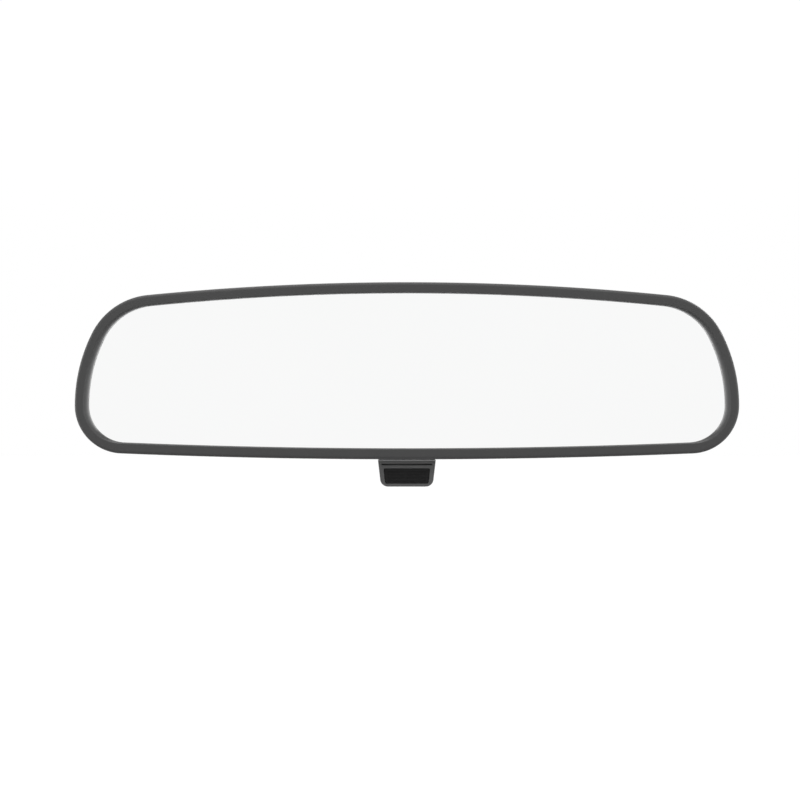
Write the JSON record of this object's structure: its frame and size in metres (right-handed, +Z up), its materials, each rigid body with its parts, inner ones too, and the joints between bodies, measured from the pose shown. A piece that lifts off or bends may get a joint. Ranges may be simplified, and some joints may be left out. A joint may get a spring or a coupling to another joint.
{
  "type": "interior rearview mirror",
  "caption": "Interior day and night rearview mirror with a prism glass, a flip lever and a double ball arm on a windscreen button.",
  "frame": {"origin": "centre of the button's face that is bonded to the inside of the windscreen", "axes": "+Z is up, the glass faces -Y towards the driver, and +X runs along the mirror's width to the driver's right"},
  "size_m": [0.25, 0.1268, 0.0774],
  "materials": {
    "button_metal": "brushed sintered steel",
    "painted_casting": "satin black powder coat on a die casting",
    "dark_steel": "black oxide",
    "bright_steel": "zinc plated, turned",
    "natural_nylon": "natural nylon",
    "painted_tube": "satin black powder coat",
    "spring_steel": "oiled spring steel",
    "filled_nylon": "glass filled nylon, matt",
    "housing_plastic": "fine moulded grain",
    "bezel_plastic": "satin moulded",
    "prism_glass": "clear, polished",
    "mirror_coat": "silvered, with a grey back paint",
    "foam": "closed cell foam",
    "soft_rubber": "matt rubber",
    "lever_plastic": "satin moulded",
    "grip_rubber": "matt ribbed rubber"
  },
  "bodies": {
    "windscreen_mount": {"mount_button": "button_metal", "mount_base": "painted_casting", "set_screw": "dark_steel", "base_ball_stud": "bright_steel"},
    "upper_ring": {"upper_friction_ring": "natural_nylon"},
    "arm": {"arm_tube": "painted_tube", "upper_seat_cup": "natural_nylon", "arm_spring": "spring_steel"},
    "lower_cup": {"lower_seat_cup": "natural_nylon"},
    "lower_ring": {"lower_friction_ring": "natural_nylon"},
    "carrier": {"mirror_ball_stud": "bright_steel", "stud_washer": "bright_steel", "stud_nut": "bright_steel", "pivot_carrier": "filled_nylon"},
    "mirror_head": {"rear_housing": "housing_plastic", "front_bezel": "bezel_plastic", "prism_glass": "prism_glass", "reflective_backing": "mirror_coat", "glass_cushions": "foam", "hinge_rod": "bright_steel", "rod_clips": "spring_steel", "lever_pivot_pin": "bright_steel", "detent_spring": "spring_steel", "detent_screw": "bright_steel", "port_ring": "soft_rubber", "stop_bumpers": "soft_rubber"},
    "lever": {"day_night_lever": "lever_plastic", "crank_pin": "bright_steel", "lever_grip_pad": "grip_rubber"}
  },
  "joints": [
    {"name": "arm_pitch", "type": "hinge", "parent": "windscreen_mount", "child": "upper_ring", "pos_m": [0, -0.01697, -0.01697], "axis": [1, 0, 0], "range_deg": [-6, 42]},
    {"name": "arm_yaw", "type": "hinge", "parent": "upper_ring", "child": "arm", "pos_m": [0, -0.01697, -0.01697], "axis": [0, 0, 1], "range_deg": [-18, 18]},
    {"name": "mirror_roll", "type": "hinge", "parent": "arm", "child": "lower_cup", "pos_m": [0, -0.06897, -0.01697], "axis": [0, -1, 0], "range_deg": [-20, 20]},
    {"name": "mirror_yaw", "type": "hinge", "parent": "lower_cup", "child": "lower_ring", "pos_m": [0, -0.06897, -0.01697], "axis": [0, 0, 1], "range_deg": [-18, 18]},
    {"name": "mirror_pitch", "type": "hinge", "parent": "lower_ring", "child": "carrier", "pos_m": [0, -0.06897, -0.01697], "axis": [1, 0, 0], "range_deg": [-32, 16]},
    {"name": "day_night_tilt", "type": "hinge", "parent": "carrier", "child": "mirror_head", "pos_m": [0, -0.09797, 0.00103], "axis": [-1, 0, 0], "range_deg": [0, 5]},
    {"name": "lever_flip", "type": "hinge", "parent": "mirror_head", "child": "lever", "pos_m": [0, -0.09897, -0.04497], "axis": [-1, 0, 0], "range_deg": [0, 35], "deforming": ["detent_spring"]}
  ],
  "couplings": [
    {"joint": "lever_flip", "follows": "day_night_tilt", "ratio": 7}
  ]
}
